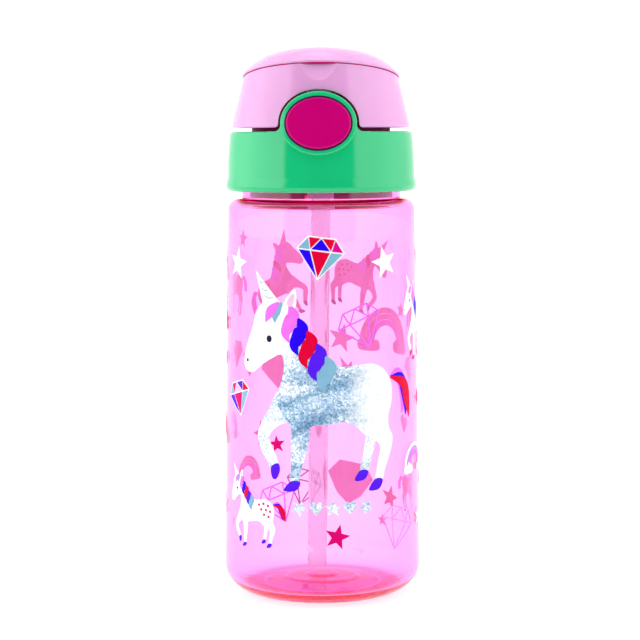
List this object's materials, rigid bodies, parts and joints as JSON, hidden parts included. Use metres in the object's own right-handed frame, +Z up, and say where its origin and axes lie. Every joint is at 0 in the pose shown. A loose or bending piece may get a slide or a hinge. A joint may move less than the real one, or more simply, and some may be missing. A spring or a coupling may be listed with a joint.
{
  "type": "water bottle",
  "caption": "Kids water bottle: tapered see-through bottle with a screw-on collar, oval push button at the front and a sloping flip cover over a soft spout with a straw.",
  "frame": {"origin": "on the bottle axis, at the level of the ring it stands on", "axes": "+Z up along the bottle axis, -Y towards the push button (front), hinge at +Y"},
  "size_m": [0.0744, 0.0744, 0.2061],
  "materials": {
    "bottle_clear": "clear tinted",
    "collar_green": "gloss",
    "cover_pink": "gloss",
    "button_magenta": "gloss",
    "cap_berry": "gloss",
    "slider_white": "satin",
    "silicone": "soft satin",
    "straw_pink": "translucent",
    "steel": "drawn wire"
  },
  "bodies": {
    "bottle": {"bottle": "bottle_clear"},
    "riser": {"lid_gasket": "silicone"},
    "lid": {"lid_collar": "collar_green", "inner_cap": "cap_berry", "spout": "silicone", "straw": "straw_pink", "air_valve": "silicone", "hinge_pin": "steel", "hinge_spring": "steel", "button_spring": "steel"},
    "cover": {"cover_shell": "cover_pink", "cover_cap": "cover_pink", "spout_seal": "silicone"},
    "button": {"release_button": "button_magenta", "latch_slider": "slider_white"}
  },
  "joints": [
    {"name": "lid_rise", "type": "slide", "parent": "bottle", "child": "riser", "axis": [0, 0, 1], "range_m": [0, 0.00605]},
    {"name": "lid_unscrew", "type": "hinge", "parent": "riser", "child": "lid", "pos_m": [0, 0, 0.158], "axis": [0, 0, 1], "range_deg": [0, 540]},
    {"name": "cover_flip", "type": "hinge", "parent": "lid", "child": "cover", "pos_m": [0, 0.0344, 0.1762], "axis": [-1, 0, 0], "range_deg": [0, 165], "deforming": ["hinge_spring", "latch_slider"]},
    {"name": "button_press", "type": "slide", "parent": "lid", "child": "button", "axis": [0, 1, 0], "range_m": [0, 0.0025], "stiffness_N_per_m": 1500, "springref_m": -0.001, "deforming": ["button_spring"]}
  ],
  "couplings": [
    {"joint": "lid_rise", "follows": "lid_unscrew", "m_per_rad": 0.00063662}
  ]
}
